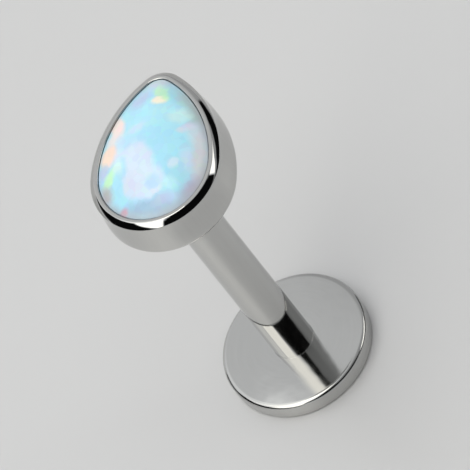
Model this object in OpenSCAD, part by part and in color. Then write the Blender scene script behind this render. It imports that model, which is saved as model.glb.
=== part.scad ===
// Labret stud: a mirror-polished post on a flat round back disc, with a teardrop bezel cup that
// holds a domed opal. It stands on its disc. The origin is the centre of the disc's underside,
// +Z runs up the post and +Y points to the teardrop's tip. All sizes are in millimetres.

/* [Back disc] */
// Diameter of the flat back disc
disc_d = 4.2; // [3:0.1:5]
// Thickness of the disc at its middle
disc_h = 0.6; // [0.4:0.05:0.9]
// How much lower the slightly crowned upper face is at its edge than at its middle
disc_crown = 0.07; // [0.01:0.01:0.1]
// Radius of the disc's rounded upper edge
disc_edge_r = 0.12; // [0.06:0.02:0.2]
// Radius of the disc's broken lower edge
disc_base_r = 0.06; // [0.02:0.01:0.1]

/* [Post] */
// Diameter of the post, 16 gauge
post_d = 1.2; // [1:0.1:1.6]
// Clear length between the disc and the cup
post_len = 8; // [5:0.5:12]
// Radius of the small fillet where the post meets the disc
foot_fillet_r = 0.02; // [0.01:0.01:0.15]
// Diameter of the blind bore in the post's upper end
bore_d = 0.86; // [0.7:0.02:0.9]
// Depth of that bore
bore_depth = 3; // [2:0.5:4]

/* [Bezel cup] */
// Radius of the opening's round end
opening_end_r = 1.59; // [1.3:0.01:1.8]
// Radius of the two long side arcs of the opening
opening_side_r = 3.29; // [2.6:0.01:4]
// Radius of the opening's blunt tip
opening_tip_r = 0.49; // [0.3:0.01:0.6]
// How far the round end's centre lies behind the post's axis
end_behind = 0.1; // [0:0.01:0.3]
// Width of the polished lip, from the opening to the cup's outer wall
lip_w = 0.27; // [0.25:0.01:0.4]
// Width of the narrow flat on top of the lip, next to the opening
land_w = 0.11; // [0.06:0.01:0.16]
// How far the lip's outer bevel drops from that flat to the wall
bevel_h = 0.15; // [0.1:0.01:0.2]
// Radius of the lip's edges at the opening and at the wall
lip_edge_r = 0.03; // [0.01:0.01:0.05]
// Height of the cup's side wall, from the lip's top
wall_h = 1.14; // [1:0.02:1.5]
// How much wider the wall is at its foot than under the lip, as a share
wall_flare = 0.035; // [0:0.005:0.05]
// Depth of the rounded bowl under the wall
bowl_h = 0.6; // [0.4:0.05:0.9]
// Height of the round shoulder that meets the post
shoulder_h = 0.15; // [0.1:0.05:0.3]
// Diameter of the pin that goes into the post
pin_d = 0.8; // [0.6:0.02:0.84]
// Length of that pin below the shoulder
pin_len = 2.4; // [1.5:0.1:2.8]

/* [Opal] */
// Height of the dome above the opening
dome_rise = 0.5; // [0.3:0.02:0.7]
// Angle that sets how steep the dome's shoulders are
dome_angle = 50; // [30:5:60]
// How far the stone reaches under the lip
girdle_w = 0.08; // [0.05:0.01:0.12]
// Depth of the stone's seat below the lip's top
seat_depth = 1.1; // [0.8:0.05:1.1]
// Gap all round between neighbouring pieces
fit_gap = 0.02; // [0.01:0.01:0.04]

/* [Hidden] */
// Steps in one arc of the outline's end, side and tip
end_steps = 10;
side_steps = 10;
tip_steps = 6;
// Steps round each of the lip's edges, down the bowl and up the dome
lip_steps = 4;
bowl_steps = 9;
dome_steps = 10;
// Facets of a full round, and of the crown's much larger one
round_fn = 96;
crown_fn = 1440;
// The crown is part of a large ball round the post's axis
crown_reach = disc_d / 2 - disc_edge_r;
crown_r = (pow(crown_reach, 2) + pow(disc_crown, 2)) / (2 * disc_crown);
rim_z = disc_h - disc_crown;
// The soft edge between the lip's flat and its bevel
land_edge_r = 3 * lip_edge_r;
// The bowl's sections shrink to this angle of a quarter round, which leaves a flat under the cup
bowl_end_angle = 70;
// Heights, from the disc's underside
post_top_z = disc_h + post_len - shoulder_h;
cup_base_z = disc_h + post_len;
wall_foot_z = cup_base_z + bowl_h;
lip_z = wall_foot_z + wall_h;
opening_z = lip_z - lip_edge_r;
foot_z = disc_h - crown_r + sqrt(pow(crown_r, 2) - pow(post_d / 2 + foot_fillet_r, 2));
seat_z = lip_z - seat_depth;
// The girdle ends where the lip's underside closes in over it
girdle_top_z = opening_z - 1.5 * girdle_w;
// Points of the outline's long sides stand on arcs centred beside the round end
tip_rise = sqrt(pow(opening_side_r - opening_tip_r, 2) - pow(opening_side_r - opening_end_r, 2));
tip_angle = atan2(tip_rise, opening_side_r - opening_end_r);
// Sections grow and shrink about the outline's middle
tip_y = tip_rise + opening_tip_r - end_behind;
end_y = -opening_end_r - end_behind;
mid_y = (tip_y + end_y) / 2;

// Points of an arc, without its last one
function arc(x, y, r, from, to, steps) =
    [for (i = [0:steps - 1])
        let (a = from + (to - from) * i / steps)
        [x + r * cos(a), y + r * sin(a)]];

// The teardrop outline, grown outwards by u, anticlockwise from the middle of its round end
function teardrop(u) =
    let (end_r = opening_end_r + u)
    let (side_r = opening_side_r + u)
    let (tip_r = opening_tip_r + u)
    let (side_x = opening_side_r - opening_end_r)
    concat(
        arc(0, -end_behind, end_r, -90, 0, end_steps),
        arc(-side_x, -end_behind, side_r, 0, tip_angle, side_steps),
        arc(0, tip_rise - end_behind, tip_r, tip_angle, 180 - tip_angle, 2 * tip_steps),
        arc(side_x, -end_behind, side_r, 180 - tip_angle, 180, side_steps),
        arc(0, -end_behind, end_r, 180, 270, end_steps));

// One section of a loft: the outline grown by u, scaled by k about the post's axis or the middle
function section(u, k, z, about = 0) =
    [for (p = teardrop(u)) [k * p[0], about + k * (p[1] - about), z]];

// The bowl's sections, from its flat base up to the wall's foot
function bowl_sections() =
    [for (i = [bowl_steps:-1:1])
        let (a = bowl_end_angle * i / bowl_steps)
        section(lip_w, (1 + wall_flare) * cos(a), wall_foot_z - bowl_h * sin(a) / sin(bowl_end_angle))];

// A rounded edge of the lip: its corner, and the slopes that the surface has before and after it
function lip_edge(u, drop, r, before, after) =
    let (reach = r * tan((before - after) / 2))
    let (start = [u + reach * cos(before), drop + reach * sin(before)])
    [for (i = [0:lip_steps])
        let (b = before + (after - before) * i / lip_steps)
        section(start[0] + r * (sin(b) - sin(before)), 1, lip_z - start[1] - r * (cos(before) - cos(b)))];

// The wall's foot, and the lip from the wall over its bevel and flat to the opening
function wall_sections() = [section(lip_w, 1 + wall_flare, wall_foot_z)];
function lip_sections() =
    let (slope = atan2(bevel_h, lip_w - land_w))
    concat(
        lip_edge(lip_w, bevel_h, lip_edge_r, 90, slope),
        lip_edge(land_w, 0, land_edge_r, slope, 0),
        lip_edge(0, 0, lip_edge_r, 0, -90));

// The seat under the lip, down to its floor
function seat_sections() =
    [section(girdle_w, 1, girdle_top_z), section(girdle_w, 1, seat_z)];

// The stone's girdle and dome, each a gap clear of the cup
function girdle_sections() =
    [section(girdle_w - fit_gap, 1, seat_z + fit_gap), section(girdle_w - fit_gap, 1, girdle_top_z - fit_gap)];
function dome_sections() =
    [for (i = [dome_steps:-1:1])
        let (a = dome_angle * i / dome_steps)
        let (share = (cos(a) - cos(dome_angle)) / (1 - cos(dome_angle)))
        section(-fit_gap, sin(a) / sin(dome_angle), opening_z - fit_gap + dome_rise * share, mid_y)];

// A closed solid through a list of sections with equal numbers of points
module loft(sections) {
    n = len(sections[0]);
    last = len(sections) - 1;
    sides = [for (i = [0:last - 1], j = [0:n - 1])
        let (a = i * n + j)
        let (b = i * n + (j + 1) % n)
        [[a, b + n, b], [a, a + n, b + n]]];
    polyhedron(
        points = [for (s = sections, p = s) p],
        faces = concat(
            [[for (j = [0:n - 1]) j]],
            [for (pair = sides, face = pair) face],
            [[for (j = [n - 1:-1:0]) last * n + j]]));
}

// Half the disc's outline, with its crown and both of its edges rounded
module disc_profile() {
    r = disc_d / 2;
    intersection() {
        square([crown_reach, disc_h]);
        translate([0, disc_h - crown_r])
            circle(crown_r, $fn = crown_fn);
    }
    translate([0, disc_base_r])
        square([r, rim_z - disc_edge_r - disc_base_r]);
    square([r - disc_base_r, rim_z - disc_edge_r]);
    translate([r - disc_edge_r, rim_z - disc_edge_r])
        circle(disc_edge_r, $fn = round_fn);
    translate([r - disc_base_r, disc_base_r])
        circle(disc_base_r, $fn = round_fn);
}

// The fillet at the post's foot
module foot_profile() {
    r = post_d / 2;
    difference() {
        translate([0, disc_h / 2])
            square([r + foot_fillet_r, foot_z + foot_fillet_r - disc_h / 2]);
        translate([r + foot_fillet_r, foot_z + foot_fillet_r])
            circle(foot_fillet_r, $fn = round_fn);
    }
}

// Back disc and bored post, one piece of metal
module labret_post() {
    color([0.66, 0.66, 0.65])
    difference() {
        rotate_extrude($fn = round_fn) {
            disc_profile();
            foot_profile();
            square([post_d / 2, post_top_z]);
        }
        translate([0, 0, post_top_z - bore_depth])
            cylinder(d = bore_d, h = bore_depth + 1, $fn = round_fn);
    }
}

// Teardrop cup with its lip, shoulder and pin, one piece of metal
module bezel_cup() {
    color([0.66, 0.66, 0.65])
    union() {
        loft(concat(bowl_sections(), wall_sections(), lip_sections(), seat_sections()));
        translate([0, 0, post_top_z + fit_gap])
            cylinder(d = post_d, h = shoulder_h + bowl_h / 3, $fn = round_fn);
        translate([0, 0, post_top_z - pin_len])
            cylinder(d = pin_d, h = pin_len + shoulder_h, $fn = round_fn);
    }
}

// Domed opal
module opal() {
    color([0.7, 0.88, 0.97])
    loft(concat(girdle_sections(), dome_sections()));
}

labret_post();
bezel_cup();
opal();
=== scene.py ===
import math

import bpy
import numpy as np
from mathutils import Matrix, Vector


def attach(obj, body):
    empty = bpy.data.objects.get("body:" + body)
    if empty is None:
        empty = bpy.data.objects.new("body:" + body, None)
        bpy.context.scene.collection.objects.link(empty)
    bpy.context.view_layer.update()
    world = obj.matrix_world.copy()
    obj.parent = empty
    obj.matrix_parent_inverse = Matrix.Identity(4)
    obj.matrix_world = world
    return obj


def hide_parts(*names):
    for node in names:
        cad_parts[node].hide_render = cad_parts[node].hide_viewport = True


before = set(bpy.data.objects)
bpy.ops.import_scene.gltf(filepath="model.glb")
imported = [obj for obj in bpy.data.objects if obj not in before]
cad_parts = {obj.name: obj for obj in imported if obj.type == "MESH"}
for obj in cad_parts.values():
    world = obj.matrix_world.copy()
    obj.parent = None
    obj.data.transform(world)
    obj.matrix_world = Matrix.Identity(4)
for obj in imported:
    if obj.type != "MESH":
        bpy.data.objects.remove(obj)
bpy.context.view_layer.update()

# Labret stud: a turned post and disc, a teardrop cup and a domed opal, in a studio of soft panels

# Blender works in metres, and all lengths below are in millimetres
MM = 0.001

# The part's sizes, the same as in its source
DISC_R, DISC_H, DISC_CROWN, DISC_BASE_R = 2.1, 0.6, 0.07, 0.06
POST_R, POST_LEN = 0.6, 8.0
BORE_R, BORE_DEPTH = 0.43, 3.0
END_R, SIDE_R, TIP_R, END_BEHIND = 1.59, 3.29, 0.49, 0.1
LIP_W, LIP_IN_H, WALL_H, WALL_FLARE = 0.27, 0.03, 1.14, 0.035
BOWL_H, BOWL_END_ANGLE, SHOULDER_H = 0.6, 70, 0.15
PIN_R, PIN_LEN = 0.4, 2.4
DOME_ANGLE, GIRDLE_W, SEAT_DEPTH, FIT_GAP = 50, 0.08, 1.1, 0.02

# Finer sizes of the dressed pieces, where they go beyond the part's source
# Width and height of the roll-off at the disc's upper edge
ROLL_W, ROLL_H = 0.15, 0.1
# The breaks on turned edges, and the corners where the post meets the disc and the cup
BREAK_R, FOOT_R = 0.02, 0.008
# How far out from the post the profiles of those corners start, at the disc and under the cup
DISC_FOOT_W, CUP_FOOT_W = 0.05, 0.03
# Flat ends are closed by a fan of this radius: the disc's underside, and the pin's and bore's ends
UNDERSIDE_FAN_R, END_FAN_R = 0.3, 0.1
# How far below the opening the dome starts, and how high it rises from there
DOME_DROP, DOME_RISE = 0.005, 0.48

# Heights above the disc's underside
CUP_BASE_Z = DISC_H + POST_LEN
POST_TOP_Z = CUP_BASE_Z - SHOULDER_H
WALL_FOOT_Z = CUP_BASE_Z + BOWL_H
LIP_Z = WALL_FOOT_Z + WALL_H
OPENING_Z = LIP_Z - LIP_IN_H
DOME_Z = OPENING_Z - DOME_DROP
SEAT_Z = LIP_Z - SEAT_DEPTH
# The girdle ends where the lip's underside closes in over it
GIRDLE_TOP_Z = OPENING_Z - 1.5 * GIRDLE_W

# How far the tip's centre lies past the round end's, and the angle at which the tip's arc starts
TIP_RISE = math.sqrt((SIDE_R - TIP_R) ** 2 - (SIDE_R - END_R) ** 2)
TIP_ANGLE = math.degrees(math.atan2(TIP_RISE, SIDE_R - END_R))
# The dome shrinks about the teardrop's middle
MID_Y = (TIP_RISE + TIP_R - END_R) / 2 - END_BEHIND
# The angles of a turned piece's points
ROUND = np.linspace(0, 2 * np.pi, 256, endpoint=False)


def outline(end_steps=48, side_steps=44, tip_steps=22):
    """The opening's points and outward normals, anticlockwise from the middle of its round end."""
    side_x = SIDE_R - END_R
    # Each arc's centre, radius, first and last angle, and steps
    arcs = ((0, 0, END_R, -90, 0, end_steps),
            (-side_x, 0, SIDE_R, 0, TIP_ANGLE, side_steps),
            (0, TIP_RISE, TIP_R, TIP_ANGLE, 180 - TIP_ANGLE, 2 * tip_steps),
            (side_x, 0, SIDE_R, 180 - TIP_ANGLE, 180, side_steps),
            (0, 0, END_R, 180, 270, end_steps))
    points, normals = [], []
    for x, y, r, start, end, steps in arcs:
        a = np.radians(np.linspace(start, end, steps, endpoint=False))
        n = np.column_stack([np.cos(a), np.sin(a)])
        points.append([x, y - END_BEHIND] + r * n)
        normals.append(n)
    return np.vstack(points), np.vstack(normals)


def loft(rows, about=0.0):
    """Rings of points and normals: the outline grown by an offset and scaled about a place on Y.

    A row is offset, scale and height, then how each of them changes along the surface."""
    base, n = outline()
    tangent = np.column_stack([-n[:, 1], n[:, 0], np.zeros(len(n))])
    points, normals = [], []
    for u, k, z, du, dk, dz in rows:
        ring = base + u * n - [0, about]
        points.append(np.column_stack([k * ring + [0, about], np.full(len(n), z)]))
        along = np.column_stack([dk * ring + du * n, np.full(len(n), dz)])
        normals.append(np.cross(tangent, along))
    return np.array(points), np.array(normals)


def rounded(corners, steps=12):
    """A profile through rounded corners, as points and the direction that it runs in.

    A corner is radius, height and rounding. The first and the last aren't rounded."""
    points, along = [], []
    for i, (r, z, fillet) in enumerate(corners):
        p = np.array([r, z])
        before = None if i == 0 else p - corners[i - 1][:2]
        after = None if i == len(corners) - 1 else np.array(corners[i + 1][:2]) - p
        if before is None or after is None:
            d = after if before is None else before
            points.append(p)
            along.append(d / np.linalg.norm(d))
            continue
        d0, d1 = before / np.linalg.norm(before), after / np.linalg.norm(after)
        turn = math.acos(np.clip(d0 @ d1, -1, 1))
        inward = (d1 - d0 @ d1 * d0) / math.sin(turn)
        start = p - fillet * math.tan(turn / 2) * d0
        for a in np.linspace(0, turn, steps + 1):
            points.append(start + fillet * (math.sin(a) * d0 + (1 - math.cos(a)) * inward))
            along.append(math.cos(a) * d0 + math.sin(a) * inward)
    return np.array(points), np.array(along)


def lathe(profile, along, angles=ROUND):
    """Rings of points and normals, from a profile that runs with the metal on its left."""
    ring = np.column_stack([np.cos(angles), np.sin(angles)])
    points = [np.column_stack([r * ring, np.full(len(ring), z)]) for r, z in profile]
    normals = [np.column_stack([dz * ring, np.full(len(ring), -dr)]) for dr, dz in along]
    return np.array(points), np.array(normals)


def piece(name, surface, material, node):
    """One object: a stack of rings with their normals, closed by a fan at each end."""
    rings, ring_normals = surface
    count, n = rings.shape[:2]
    index = np.arange(count * n).reshape(count, n)
    after = np.roll(index, -1, axis=1)
    faces = np.stack([index[:-1], after[:-1], after[1:], index[1:]], -1).reshape(-1, 4).tolist()
    low, high = count * n, count * n + 1
    faces += [[low, b, a] for a, b in zip(index[0], after[0])]
    faces += [[high, a, b] for a, b in zip(index[-1], after[-1])]
    points = np.vstack([rings.reshape(-1, 3), rings[0].mean(0), rings[-1].mean(0)])
    ends = [ring_normals[i].mean(0) * [0, 0, 1] for i in (0, -1)]
    normals = np.vstack([ring_normals.reshape(-1, 3), *ends])
    normals /= np.linalg.norm(normals, axis=1)[:, None]
    mesh = bpy.data.meshes.new(name)
    mesh.from_pydata((points * MM).tolist(), [], faces)
    mesh.shade_smooth()
    mesh.normals_split_custom_set_from_vertices(normals.tolist())
    mesh.materials.append(material)
    obj = bpy.data.objects.new(name, mesh)
    bpy.context.scene.collection.objects.link(obj)
    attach(obj, "root")
    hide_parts(node)


def disc_face(steps=28):
    """The disc's upper face from the rim inwards, a little crowned, and rolled off by polishing.

    Given as points, by radius and height, and the direction that the profile runs in."""
    crown_r, rim_z = DISC_R - ROLL_W, DISC_H - DISC_CROWN
    # How steep the crown is where the roll-off starts. The roll-off's directions have it added, so
    # that the normals of both meet.
    steep = 2 * DISC_CROWN / crown_r
    rows = []
    for a in np.linspace(math.pi / 2, 0, steps, endpoint=False):
        rows.append((crown_r + ROLL_W * math.sin(a), rim_z - ROLL_H * (1 - math.cos(a)),
                     -ROLL_W * math.cos(a), ROLL_H * math.sin(a) + steep * ROLL_W * math.cos(a)))
    for r in np.linspace(crown_r, POST_R + DISC_FOOT_W, steps):
        rows.append((r, DISC_H - DISC_CROWN * (r / crown_r) ** 2, -1, steep * r / crown_r))
    rows = np.array(rows)
    return rows[:, :2], rows[:, 2:]


def post_surface():
    """The turned disc and post: out along the underside, over the face, up the post, down the bore."""
    face, face_along = disc_face()
    rim_z, foot_z, bore_z = face[0][1], face[-1][1], POST_TOP_Z - BORE_DEPTH
    low = rounded([(UNDERSIDE_FAN_R, 0, 0), (DISC_R, 0, DISC_BASE_R), (DISC_R, rim_z, 0)])
    high = rounded([(POST_R + DISC_FOOT_W, foot_z, 0), (POST_R, foot_z, FOOT_R),
                    (POST_R, POST_TOP_Z, BREAK_R), (BORE_R, POST_TOP_Z, BREAK_R),
                    (BORE_R, bore_z, BREAK_R), (END_FAN_R, bore_z, 0)])
    profile = np.vstack([low[0][:-1], face, high[0][1:]])
    along = np.vstack([low[1][:-1], face_along, high[1][1:]])
    return lathe(profile, along)


def lip_profile(steps=60, substeps=40):
    """The lip from the wall over its bevel and crest into the opening.

    Given as offset from the opening, height against the crest, and slope in radians."""
    # The lip's slope in degrees at lengths along it, counted from the opening
    length = np.array([0, 0.05, 0.125, 0.155, 0.35, 0.38])
    slope = np.array([-90, -4, 6, 38, 50, 90])
    s = np.linspace(0, length[-1], substeps * steps)
    b = np.radians(np.interp(s, length, slope))
    middle = (b[1:] + b[:-1]) / 2
    u = np.concatenate([[0], np.cumsum(np.cos(middle) * np.diff(s))])
    z = np.concatenate([[0], np.cumsum(-np.sin(middle) * np.diff(s))])
    k = LIP_W / u[-1]
    # Shares of the rings up to lengths along the lip, so that its tight bends get more of them
    shares, lengths = [0, 0.2, 0.5, 0.8, 1], [0, 0.05, 0.15, 0.34, length[-1]]
    pick = np.searchsorted(s, np.interp(np.linspace(0, 1, steps), shares, lengths))
    pick = np.minimum(pick, len(s) - 1)
    return [(k * u[i], k * (z[i] - z.max()), b[i]) for i in pick[::-1]]


def cup_surface(bowl_steps=24, wall_steps=12):
    """The cup and its pin: up the pin, out below the cup, up the wall and over the lip to the seat."""
    foot_k = 1 + WALL_FLARE
    bowl_r = BOWL_H / math.sin(math.radians(BOWL_END_ANGLE))
    lip = lip_profile()
    wall_h = LIP_Z + lip[0][1] - WALL_FOOT_Z
    rows = []
    for a in np.radians(np.linspace(BOWL_END_ANGLE, 0, bowl_steps + 1)):
        rows.append((LIP_W, foot_k * math.cos(a), WALL_FOOT_Z - bowl_r * math.sin(a),
                     0, foot_k * math.sin(a), bowl_r * math.cos(a)))
    # The wall's flare comes in towards the lip in a soft S
    for s in np.linspace(0, 1, wall_steps + 1)[1:-1]:
        rows.append((LIP_W, 1 + WALL_FLARE * (1 + math.cos(math.pi * s)) / 2, WALL_FOOT_Z + wall_h * s,
                     0, -WALL_FLARE * math.pi / 2 * math.sin(math.pi * s), wall_h))
    for u, z, slope in lip:
        rows.append((u, 1, LIP_Z + z, -math.cos(slope), 0, math.sin(slope)))
    rows += [(BREAK_R, 1, OPENING_Z - LIP_IN_H, 1, 0, -1),
             (GIRDLE_W, 1, GIRDLE_TOP_Z, 1, 0, -2),
             (GIRDLE_W, 1, SEAT_Z + BREAK_R, 0, 0, -1),
             (GIRDLE_W - BREAK_R, 1, SEAT_Z, -1, 0, 0)]
    pin_z, seam_z = POST_TOP_Z - PIN_LEN, POST_TOP_Z + FIT_GAP
    stem = rounded([(END_FAN_R, pin_z, 0), (PIN_R, pin_z, BREAK_R), (PIN_R, seam_z, BREAK_R),
                    (POST_R, seam_z, BREAK_R), (POST_R, CUP_BASE_Z, FOOT_R),
                    (POST_R + CUP_FOOT_W, CUP_BASE_Z, 0)])
    # The stem's rings take their angles from the teardrop's points, so that both join in one surface
    base, n = outline()
    ring = base + LIP_W * n
    low = lathe(*stem, np.arctan2(ring[:, 1], ring[:, 0]))
    return [np.concatenate(pair) for pair in zip(low, loft(rows))]


def opal_surface(steps=40):
    """The stone: up its girdle, in under the lip and over its dome, which ends in a tiny flat."""
    edge, flat_edge = math.radians(DOME_ANGLE), 0.02
    wide, high = 1 / math.sin(edge), DOME_RISE / (1 - math.cos(edge))
    # The girdle stays a gap clear of the cup all round, and its lower corner is broken
    rows = [(GIRDLE_W - 2 * FIT_GAP, 1, SEAT_Z + FIT_GAP, 1, 0, 0),
            (GIRDLE_W - FIT_GAP, 1, SEAT_Z + 2 * FIT_GAP, 0, 0, 1),
            (GIRDLE_W - FIT_GAP, 1, GIRDLE_TOP_Z - 2 * FIT_GAP, 0, 0, 1),
            (-FIT_GAP, 1, DOME_Z - 0.5 * FIT_GAP, 0, 0, 1)]
    for a in np.linspace(edge, flat_edge, steps):
        rows.append((-FIT_GAP, wide * math.sin(a), DOME_Z + high * (math.cos(a) - math.cos(edge)),
                     0, -wide * math.cos(a), high * math.sin(a)))
    return loft(rows, MID_Y)


class Graph:
    """Short names for the nodes of a tree. A value is a socket or a plain number or vector."""

    def __init__(self, tree):
        self.tree = tree

    def node(self, kind, inputs=(), **settings):
        """A new node, with its inputs in their order or in a dictionary by name."""
        n = self.tree.nodes.new(kind)
        for k, v in settings.items():
            setattr(n, k, v)
        for key, v in (inputs.items() if isinstance(inputs, dict) else enumerate(inputs)):
            self.set(n.inputs[key], v)
        return n

    def set(self, socket, value):
        if isinstance(value, bpy.types.NodeSocket):
            self.tree.links.new(value, socket)
        else:
            socket.default_value = value

    def math(self, operation, *values):
        return self.node("ShaderNodeMath", values, operation=operation).outputs[0]

    def vector(self, operation, *values):
        return self.node("ShaderNodeVectorMath", values, operation=operation).outputs["Vector"]

    def scaled(self, vector, x, y, z):
        return self.vector("MULTIPLY", vector, (x, y, z))

    def dot(self, a, b):
        return self.node("ShaderNodeVectorMath", (a, b), operation="DOT_PRODUCT").outputs["Value"]

    def length(self, vector):
        return self.node("ShaderNodeVectorMath", (vector,), operation="LENGTH").outputs["Value"]

    def parts(self, vector):
        """The x, y and z of a vector."""
        return self.node("ShaderNodeSeparateXYZ", (vector,)).outputs

    def place(self):
        """The place on the object, in millimetres."""
        return self.scaled(self.node("ShaderNodeTexCoord").outputs["Object"], 1 / MM, 1 / MM, 1 / MM)

    def step(self, value, start, end):
        """0 before start and 1 after end, and smooth between them."""
        n = self.node("ShaderNodeMapRange", interpolation_type="SMOOTHSTEP")
        for key, v in (("Value", value), ("From Min", start), ("From Max", end)):
            self.set(n.inputs[key], v)
        return n.outputs[0]

    def mix(self, a, b, share):
        return self.math("ADD", a, self.math("MULTIPLY", share, self.math("SUBTRACT", b, a)))

    def noise(self, vector, scale, detail):
        return self.node("ShaderNodeTexNoise", {"Vector": vector, "Scale": scale, "Detail": detail})

    def cells(self, vector, scale):
        return self.node("ShaderNodeTexVoronoi", {"Vector": vector, "Scale": scale, "Randomness": 1.0})

    def tint(self, a, b, share, blend="MIX"):
        """A mix of two colours, each a socket or red, green and blue."""
        n = self.node("ShaderNodeMix", data_type="RGBA", blend_type=blend)
        self.set(n.inputs["Factor"], share)
        self.set(n.inputs["A"], a if isinstance(a, bpy.types.NodeSocket) else (*a, 1))
        self.set(n.inputs["B"], b if isinstance(b, bpy.types.NodeSocket) else (*b, 1))
        return n.outputs["Result"]


def new_material(name, color, metallic, roughness):
    """A material, its node helper and its shader. Nodes may vary the plain colour and roughness."""
    material = bpy.data.materials.new(name)
    material.use_nodes = True
    shader = material.node_tree.nodes["Principled BSDF"]
    shader.inputs["Base Color"].default_value = (*color, 1)
    shader.inputs["Metallic"].default_value = metallic
    shader.inputs["Roughness"].default_value = roughness
    return material, Graph(material.node_tree), shader


# How often the steel's marks repeat in a millimetre, in every direction or along X, Y and Z.
# Scratches lie along X before they are turned.
RING_RATE, RING_WANDER_RATE, CLOUD_RATE, PIT_RATE = 26, 0.9, 1.6, 2.6
STREAK_RATES, SCRATCH_RATES, WAVE_RATES = (9, 9, 0.5), (1.2, 34, 34), (1.7, 1.7, 1.0)
# All scratches are turned by the tilt about X, and each set by its own angle about Y and Z, in
# radians. A shift makes each set differ.
SCRATCH_TILT, SCRATCH_SETS = 0.4, ((0.5, 3.0), (-0.9, 17.0))
# Heights of the waves and of the marks
WAVE_H, MARK_H = 0.0045, 0.00005
GROOVE_COLOR, RIDGE_COLOR = (0.556, 0.556, 0.546), (0.568, 0.568, 0.558)
SCRATCH_COLOR, PIT_COLOR = (0.59, 0.585, 0.57), (0.25, 0.24, 0.23)


def steel_material():
    """Mirror-polished steel: turned lines, drawn streaks, wipe marks, scratches, waves and pits."""
    material, g, shader = new_material("polished_steel", (0.56, 0.56, 0.55), 1, 0.05)
    # Steel reflects a little less than the simple rule says just before grazing
    shader.inputs["Specular Tint"].default_value = (0.88, 0.88, 0.88, 1)
    place = g.place()
    x, y, z = g.parts(place)
    radius = g.math("SQRT", g.math("ADD", g.math("MULTIPLY", x, x), g.math("MULTIPLY", y, y)))
    facing_up = g.parts(g.node("ShaderNodeNewGeometry").outputs["True Normal"])[2]
    on_disc = g.step(z, DISC_H + 0.4, DISC_H + 0.2)
    on_face = g.math("MULTIPLY", g.step(facing_up, 0.8, 0.97), on_disc)
    # Rings that the lathe left on the disc, and streaks drawn along the post and up the cup
    rates = ((radius, RING_RATE), (x, RING_WANDER_RATE), (y, RING_WANDER_RATE))
    across = [g.math("MULTIPLY", value, rate) for value, rate in rates]
    rings = g.noise(g.node("ShaderNodeCombineXYZ", across).outputs[0], 1.0, 3).outputs[0]
    streaks = g.noise(g.scaled(place, *STREAK_RATES), 1.0, 4).outputs[0]
    lines = g.mix(streaks, rings, on_face)
    # Cloudy wipe marks, and fine scratches in two directions
    cloud = g.noise(place, CLOUD_RATE, 3).outputs[0]
    scratches = 0
    for turn, shift in SCRATCH_SETS:
        turned = g.node("ShaderNodeMapping", (place, (shift, shift, shift), (SCRATCH_TILT, turn, turn)))
        fine = g.noise(g.scaled(turned.outputs[0], *SCRATCH_RATES), 1.0, 1).outputs[0]
        marks = g.math("MULTIPLY", g.step(fine, 0.70, 0.76), g.step(cloud, 0.45, 0.62))
        scratches = g.math("ADD", scratches, marks)
    # A few tiny pits
    cells = g.cells(place, PIT_RATE)
    chosen = g.step(g.parts(cells.outputs["Color"])[0], 0.92, 0.94)
    pits = g.math("MULTIPLY", chosen, g.step(cells.outputs["Distance"], 0.08, 0.04))
    base = g.tint(GROOVE_COLOR, RIDGE_COLOR, g.step(lines, 0.3, 0.7))
    base = g.tint(base, SCRATCH_COLOR, g.math("MULTIPLY", scratches, 0.3))
    base = g.tint(base, PIT_COLOR, g.math("MULTIPLY", pits, 0.6))
    g.set(shader.inputs["Base Color"], base)
    # The mirror is duller in wipe marks, on the disc's face, at its worn edge and in each mark
    worn = g.math("MULTIPLY", g.step(radius, DISC_R - 0.2, DISC_R - 0.05), on_disc)
    marked = g.math("ADD", scratches, pits)
    wiped = g.step(cloud, 0.35, 0.75)
    rough = 0.03
    for dull, share in ((wiped, 0.04), (on_face, 0.05), (worn, 0.08), (marked, 0.05)):
        rough = g.math("ADD", rough, g.math("MULTIPLY", dull, share))
    g.set(shader.inputs["Roughness"], rough)
    waves = g.noise(g.scaled(place, *WAVE_RATES), 1.0, 1).outputs[0]
    bump = g.node("ShaderNodeBump", {"Strength": 1.0, "Distance": WAVE_H * MM, "Height": waves})
    height = g.math("SUBTRACT", lines, scratches)
    fine_bump = g.node("ShaderNodeBump", {"Strength": 1.0, "Distance": MARK_H * MM, "Height": height,
                                          "Normal": bump.outputs[0]})
    g.set(shader.inputs["Normal"], fine_bump.outputs[0])
    return material


# The hues that the opal plays in
HUES = {
    "sky": (0.43, 0.80, 0.98),
    "aqua": (0.53, 0.88, 0.98),
    "blue": (0.54, 0.76, 0.98),
    "milk": (0.70, 0.82, 0.99),
    "lavender": (0.52, 0.62, 0.84),
    "lilac": (0.70, 0.76, 0.93),
    "mist": (0.70, 0.80, 0.85),
    "teal": (0.41, 0.73, 0.85),
    "steel": (0.38, 0.56, 0.74),
    "sage": (0.47, 0.60, 0.57),
    "pearl": (0.70, 0.71, 0.74),
    "mauve": (0.50, 0.42, 0.58),
    "taupe": (0.51, 0.49, 0.49),
    "cream": (0.99, 0.94, 0.73),
    "blush": (0.94, 0.81, 0.76),
    "peach": (0.99, 0.78, 0.65),
    "green": (0.59, 0.95, 0.63),
    "mint": (0.68, 0.94, 0.94),
    "rose": (0.70, 0.37, 0.51),
}
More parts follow.
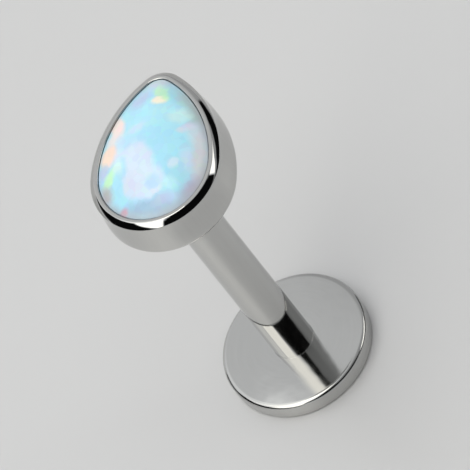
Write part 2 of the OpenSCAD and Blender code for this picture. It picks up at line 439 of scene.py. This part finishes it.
# The play of colour seen through the dome, and at the right edge a painted reflection. A patch has a
# place by name, its middle and half sizes, its turn in degrees, how soft its edge is, its strength and
# its hue. Later ones cover earlier ones.
PATCHES = (
    ("upper middle", (0.05, 1.35), (0.75, 0.35), 0, 0.9, 0.8, "aqua"),
    ("upper left", (-0.55, 1.50), (0.45, 0.22), -25, 0.8, 0.8, "sky"),
    ("middle", (0.35, 0.75), (0.50, 0.60), 10, 0.8, 0.7, "sky"),
    ("tip", (0.00, 2.50), (0.40, 0.25), 0, 0.8, 0.65, "pearl"),
    ("left of the tip", (-0.45, 2.02), (0.30, 0.24), 30, 0.7, 0.8, "lavender"),
    ("right of the tip", (0.45, 2.10), (0.16, 0.32), 30, 0.8, 0.8, "teal"),
    ("upper right edge", (0.90, 1.75), (0.18, 0.50), 30, 0.8, 0.8, "sage"),
    ("right edge, upper", (1.15, 1.20), (0.20, 0.40), 15, 0.8, 0.8, "sage"),
    ("upper right", (0.74, 1.28), (0.28, 0.22), -20, 0.5, 0.7, "mint"),
    ("fleck, right", (0.96, 0.88), (0.22, 0.14), 20, 0.5, 0.9, "lilac"),
    ("flash at the tip", (0.12, 2.13), (0.18, 0.25), 25, 0.6, 0.85, "green"),
    ("flash under it", (0.13, 1.85), (0.20, 0.14), 10, 0.4, 1.0, "cream"),
    ("glint between them", (0.27, 1.96), (0.10, 0.13), 20, 0.8, 0.8, "green"),
    ("flash, upper left edge", (-1.10, 1.34), (0.23, 0.37), 25, 0.4, 1.0, "blush"),
    ("left edge under it", (-1.12, 0.90), (0.27, 0.22), 0, 0.6, 0.75, "blush"),
    ("flash, left edge", (-1.27, 0.40), (0.31, 0.33), 30, 0.4, 1.0, "peach"),
    ("strip beside it", (-0.92, 0.35), (0.14, 0.45), -5, 0.8, 0.8, "milk"),
    ("fleck, upper left", (-0.47, 1.00), (0.28, 0.13), 20, 0.6, 0.6, "milk"),
    ("above the field", (-0.60, 0.62), (0.36, 0.22), 0, 0.8, 0.7, "blue"),
    ("field, upper", (-0.30, -0.05), (0.42, 0.60), 14, 0.25, 0.95, "milk"),
    ("field, lower", (-0.20, -0.62), (0.62, 0.46), 8, 0.22, 0.85, "milk"),
    ("corner of the field", (-0.62, 0.28), (0.22, 0.16), -20, 0.6, 0.9, "milk"),
    ("dull part of the field", (-0.58, -0.62), (0.26, 0.30), 0, 0.9, 0.8, "lilac"),
    ("eye in the field", (0.10, -0.66), (0.22, 0.17), -22, 0.45, 0.9, "blue"),
    ("crescent under it", (0.10, -0.95), (0.26, 0.10), 24, 0.45, 0.9, "milk"),
    ("left edge, middle", (-1.43, -0.02), (0.18, 0.24), 0, 0.6, 0.9, "lavender"),
    ("flash, lower left edge", (-1.18, -0.27), (0.17, 0.31), -40, 0.45, 1.0, "green"),
    ("strip beside the flash", (-0.95, -0.10), (0.14, 0.24), 0, 0.6, 0.8, "mint"),
    ("strip, lower left", (-0.94, -0.65), (0.15, 0.44), 5, 0.5, 0.95, "sky"),
    ("left edge, lower", (-1.32, -0.72), (0.18, 0.25), 30, 0.7, 0.9, "taupe"),
    ("bottom", (0.00, -1.32), (0.80, 0.20), 0, 0.5, 0.9, "steel"),
    ("bottom, right", (0.40, -1.14), (0.32, 0.16), 15, 0.8, 0.8, "lavender"),
    ("fleck, bottom", (-0.82, -1.32), (0.13, 0.09), 20, 0.5, 1.0, "rose"),
    ("lower right", (0.85, -0.50), (0.26, 0.38), 0, 0.8, 0.6, "teal"),
    ("flash, lower right", (0.57, -0.72), (0.20, 0.16), -15, 0.5, 0.95, "aqua"),
    ("fleck, lower right", (0.68, -0.21), (0.14, 0.12), 20, 0.5, 0.85, "milk"),
    ("beside the right edge", (1.05, -0.08), (0.16, 0.34), 0, 0.7, 0.6, "lilac"),
    ("right edge, middle", (1.20, 0.62), (0.16, 0.30), 10, 0.8, 0.8, "mist"),
    # Painted reflection: a greyish band down the right edge, standing for the grey surroundings
    # mirrored in the dome's curved side
    ("right edge", (1.33, -0.05), (0.17, 0.80), 0, 0.7, 0.9, "pearl"),
    ("right edge, lower", (1.10, -0.92), (0.18, 0.38), -40, 0.9, 0.8, "mauve"),
)
# How many flakes lie in a millimetre, and how far each draws the patches towards its own middle
FLAKE_RATE, FLAKE_PULL = 5.5, 0.18
SMALL_FLAKE_RATE, SMALL_FLAKE_PULL = 11.0, 0.10
# How much the patches' edges wander, and the shift that puts the patches back in their places
WANDER, SHIFT = 0.2, (-0.06, 0.08, 0)
# The colour of the painted shade and reflection that greys the stone's rim
RIM_SHADE_COLOR = (0.50, 0.50, 0.54)


def opal_material():
    """White opal: soft patches of colour broken up by flakes, under a glossy dome whose rim is greyed
    by painted shade and reflection.
    """
    material, g, shader = new_material("opal", (0.44, 0.79, 0.96), 0, 0.06)
    whole = g.place()
    # The play of colour is the same at every height
    place = g.scaled(whole, 1, 1, 0)
    flakes, small_flakes = g.cells(place, FLAKE_RATE), g.cells(place, SMALL_FLAKE_RATE)
    wander = g.vector("SUBTRACT", g.noise(place, 2.2, 3).outputs["Color"], (0.5, 0.5, 0.5))
    rest = 1 - FLAKE_PULL - SMALL_FLAKE_PULL
    spot = g.scaled(place, rest, rest, 0)
    for vector, share in ((flakes.outputs["Position"], FLAKE_PULL),
                          (small_flakes.outputs["Position"], SMALL_FLAKE_PULL), (wander, WANDER)):
        spot = g.vector("ADD", spot, g.scaled(vector, share, share, 0))
    spot = g.vector("ADD", spot, SHIFT)
    color = HUES["sky"]
    for _, (mid_x, mid_y), (half_w, half_h), turn, soft, strength, hue in PATCHES:
        patch = {"Vector": spot, "Location": (mid_x, mid_y, 0), "Rotation": (0, 0, math.radians(turn)),
                 "Scale": (half_w, half_h, 1)}
        away = g.length(g.node("ShaderNodeMapping", patch, vector_type="TEXTURE").outputs[0])
        share = g.math("MULTIPLY", g.step(away, 1 + soft, 1 - soft), strength)
        color = g.tint(color, HUES[hue], share)
    # Each flake differs a little
    own = g.scaled(flakes.outputs["Color"], 0.07, 0.07, 0.05)
    color = g.tint(color, g.vector("ADD", own, (0.965, 0.965, 0.975)), 1.0, "MULTIPLY")
    # Painted shade and reflection: a greyer rim, strongest at the lower right, the side turned away
    # from the light from the left
    x, y, z = g.parts(whole)
    rim = g.step(z, OPENING_Z + 0.13, OPENING_Z - 0.01)
    shaded_side = g.step(g.math("SUBTRACT", x, y), -1.6, 0.2)
    rim_shade_share = g.math("ADD", 0.25, g.math("MULTIPLY", shaded_side, 0.42))
    color = g.tint(color, RIM_SHADE_COLOR, g.math("MULTIPLY", rim, rim_shade_share))
    g.set(shader.inputs["Base Color"], color)
    shader.inputs["IOR"].default_value = 1.45
    shader.inputs["Subsurface Weight"].default_value = 0.25
    shader.inputs["Subsurface Radius"].default_value = (1.0, 1.0, 1.0)
    shader.inputs["Subsurface Scale"].default_value = 0.06 * MM
    worn = g.step(g.noise(place, 3.0, 3).outputs[0], 0.4, 0.75)
    g.set(shader.inputs["Roughness"], g.math("ADD", 0.04, g.math("MULTIPLY", worn, 0.05)))
    return material


# The photograph's view, fitted to its outlines: the camera's azimuth, elevation and roll in degrees,
# its distance, the scale across the view, and where the frame's origin lies in the photograph
VIEW_AZIMUTH, VIEW_ELEVATION, VIEW_ROLL, VIEW_DISTANCE = 35.1, 52.0, 38.4, 400
PIXELS_PER_MM, PHOTO_PX, ORIGIN_X_PX, ORIGIN_Y_PX = 36.98, 470, 300.8, 349.4


def make_camera():
    """The photograph's camera, moved across its view so that the origin falls on its pixel."""
    azimuth, elevation, roll = (math.radians(v) for v in (VIEW_AZIMUTH, VIEW_ELEVATION, VIEW_ROLL))
    look = Vector((-math.sin(azimuth) * math.cos(elevation), math.cos(azimuth) * math.cos(elevation),
                   -math.sin(elevation)))
    right = Vector((math.cos(azimuth), math.sin(azimuth), 0))
    up = right.cross(look)
    x = math.cos(roll) * right - math.sin(roll) * up
    y = math.sin(roll) * right + math.cos(roll) * up
    place = (-look * VIEW_DISTANCE + x * (PHOTO_PX / 2 - ORIGIN_X_PX) / PIXELS_PER_MM
             - y * (PHOTO_PX / 2 - ORIGIN_Y_PX) / PIXELS_PER_MM)
    data = bpy.data.cameras.new("camera")
    data.sensor_width = 36
    data.lens = data.sensor_width * PIXELS_PER_MM * VIEW_DISTANCE / PHOTO_PX
    data.clip_start, data.clip_end = 10 * MM, 10000 * MM
    camera = bpy.data.objects.new("camera", data)
    axes = Matrix((x, y, -look)).transposed().to_4x4()
    camera.matrix_world = Matrix.Translation(place * MM) @ axes
    bpy.context.scene.collection.objects.link(camera)
    bpy.context.scene.camera = camera


def make_floor(radius=2000, steps=128):
    """A round satin floor, far wider than the view."""
    a = np.linspace(0, 2 * np.pi, steps, endpoint=False)
    rim = np.column_stack([np.cos(a), np.sin(a), np.zeros(steps)]) * (radius * MM)
    mesh = bpy.data.meshes.new("floor")
    mesh.from_pydata(rim.tolist(), [], [list(range(steps))])
    material, _, shader = new_material("floor", (0.597, 0.600, 0.607), 0, 0.35)
    shader.inputs["IOR"].default_value = 2.0
    mesh.materials.append(material)
    floor = bpy.data.objects.new("floor", mesh)
    bpy.context.scene.collection.objects.link(floor)


def make_fill_light():
    """A soft light from straight above for the floor and the stone, which the metal doesn't mirror."""
    data = bpy.data.lights.new("fill_light", "SUN")
    data.energy, data.angle = 0.84, math.radians(60)
    light = bpy.data.objects.new("fill_light", data)
    light.location = (0, 0, 300 * MM)
    light.visible_glossy = False
    bpy.context.scene.collection.objects.link(light)


# The studio round the stud. A panel has a brightness, a span of azimuth and of elevation in degrees,
# how soft its edges are, and how much its lower edge rises per degree of azimuth. Azimuth is counted
# from the camera's side, to the right seen from the camera. Later panels cover earlier ones.
PANELS = (
    ("far wall, right", 0.46, (80, 170), (-5, 52), 18, 0),
    ("left wall", 1.00, (-160, -90), (30, 60), 26, 0),
    ("left wall, near", 1.40, (-122, -80), (32, 60), 24, 0),
    ("camera side", 0.40, (-20, 122), (3, 72), 14, 0),
    ("camera side, darker", 0.31, (-20, 70), (3, 72), 30, 0),
    ("overhead light", 2.20, (-190, -15), (67, 95), 10, 0),
    ("overhead light, left", 1.30, (-172, -26), (57, 95), 5, 0),
    ("overhead light, middle", 1.80, (-122, -26), (54, 95), 14, 0),
    ("overhead light, core", 2.15, (-95, -36), (50, 95), 12, 0),
    ("zenith light", 2.40, (-190, 0), (75, 95), 8, 0),
    ("gap", 1.15, (-92, -83), (30, 53), 5, 0),
    ("right light", 2.00, (64, 106), (24.5, 40), 3, 0.12),
    ("dark band, left", 0.004, (-142, -39), (3, 21), 3, 0),
    ("dark band, right", 0.004, (60, 126), (3, 21), 3, 0),
    ("dark left corner", 0.004, (-125, -41), (3, 36), 4, 0),
    ("camera", 0.004, (-41, 66), (24, 43), 6, 0),
    ("camera shoulder", 0.004, (-37, 60), (24, 48), 6, 0),
    ("camera head", 0.004, (-31, 54), (24, 53), 6, 0),
    ("lens", 0.004, (-20, 11), (45, 66), 7, 0),
    ("strip light", 2.15, (-86, -41), (35, 54), 4, -0.33),
)
# The brightness of the room between the panels. Dim light is a little cool, and bright light warm.
ROOM_LIGHT = 0.72
COOL, WARM = (0.985, 1, 1.01), (1.02, 1, 0.94)


def make_world():
    """A studio made of soft panels, each a patch of directions."""
    world = bpy.data.worlds.new("studio")
    world.use_nodes = True
    g = Graph(world.node_tree)
    turn = math.radians(VIEW_AZIMUTH)
    towards, right = (math.sin(turn), -math.cos(turn), 0), (math.cos(turn), math.sin(turn), 0)
    direction = g.node("ShaderNodeTexCoord").outputs["Generated"]
    azimuth = g.math("DEGREES", g.math("ARCTAN2", g.dot(direction, right), g.dot(direction, towards)))
    elevation = g.math("DEGREES", g.math("ARCSINE", g.dot(direction, (0, 0, 1))))
    light = ROOM_LIGHT
    for _, brightness, (start, end), (low, high), soft, lean in PANELS:
        fade = soft / 2
        rise = g.math("MULTIPLY", g.math("SUBTRACT", azimuth, start), lean)
        above = g.math("SUBTRACT", elevation, rise)
        inside = g.step(azimuth, start - fade, start + fade)
        for edge in (g.step(azimuth, end + fade, end - fade), g.step(above, low - fade, low + fade),
                     g.step(elevation, high + fade, high - fade)):
            inside = g.math("MULTIPLY", inside, edge)
        light = g.mix(light, brightness, inside)
    background = world.node_tree.nodes["Background"]
    g.set(background.inputs["Color"], g.tint(COOL, WARM, g.step(light, 0.8, 2.2)))
    g.set(background.inputs["Strength"], light)
    bpy.context.scene.world = world


bpy.context.scene.view_settings.view_transform = "Standard"
steel, stone = steel_material(), opal_material()
piece("post_and_disc", post_surface(), steel, "labret_post")
piece("teardrop_cup", cup_surface(), steel, "bezel_cup")
piece("domed_opal", opal_surface(), stone, "opal")
make_floor()
make_fill_light()
make_world()
make_camera()
bpy.context.view_layer.update()
